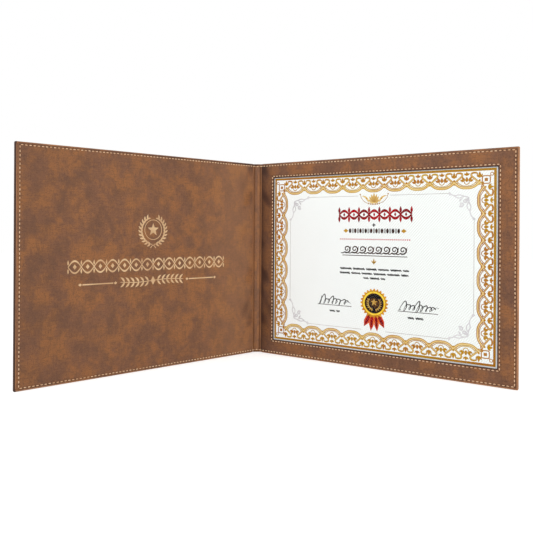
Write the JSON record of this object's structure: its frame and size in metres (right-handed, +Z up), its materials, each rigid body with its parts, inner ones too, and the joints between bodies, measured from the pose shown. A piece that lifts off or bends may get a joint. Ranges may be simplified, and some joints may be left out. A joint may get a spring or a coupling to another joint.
{
  "type": "certificate holder",
  "caption": "Folding leatherette certificate holder: front cover, creased spine and a back panel whose stitched window frame shows a letter-size sheet behind clear plastic.",
  "frame": {"origin": "centre of the bounding box on the surface that the open holder stands on", "axes": "+Z up along the creases, +X along the back panel from the spine to its free edge, -Y out of the window towards the reader"},
  "size_m": [0.3906, 0.306, 0.2413],
  "materials": {
    "outer_leatherette": "satin",
    "inner_leatherette": "satin",
    "grey_card": "matte",
    "pocket_paper": "matte",
    "certificate_paper": "matte",
    "clear_plastic": "gloss",
    "sewing_thread": "satin",
    "gold_print": "satin",
    "red_print": "satin",
    "dark_print": "matte"
  },
  "bodies": {
    "back_panel": {"back_outer_cover": "outer_leatherette", "back_board": "grey_card", "pocket_lining": "pocket_paper", "clear_sheet": "clear_plastic", "window_facing": "inner_leatherette"},
    "spine": {"spine_outer_cover": "outer_leatherette", "spine_board": "grey_card", "spine_lining": "inner_leatherette"},
    "front_cover": {"front_outer_cover": "outer_leatherette", "front_board": "grey_card", "front_filler_sheet": "grey_card", "front_lining": "inner_leatherette"},
    "certificate_sheet": {"certificate": "certificate_paper"}
  },
  "joints": [
    {"name": "back_fold", "type": "hinge", "parent": "back_panel", "child": "spine", "pos_m": [-0.11283, 0.15299, 0.12065], "axis": [0, 0, 1], "range_deg": [-38, 52]},
    {"name": "front_fold", "type": "hinge", "parent": "spine", "child": "front_cover", "pos_m": [-0.12102, 0.14659, 0.12065], "axis": [0, 0, 1], "range_deg": [-38, 52]},
    {"name": "certificate_slide", "type": "slide", "parent": "back_panel", "child": "certificate_sheet", "axis": [-1, 0, 0], "range_m": [0, 0.0127]}
  ]
}
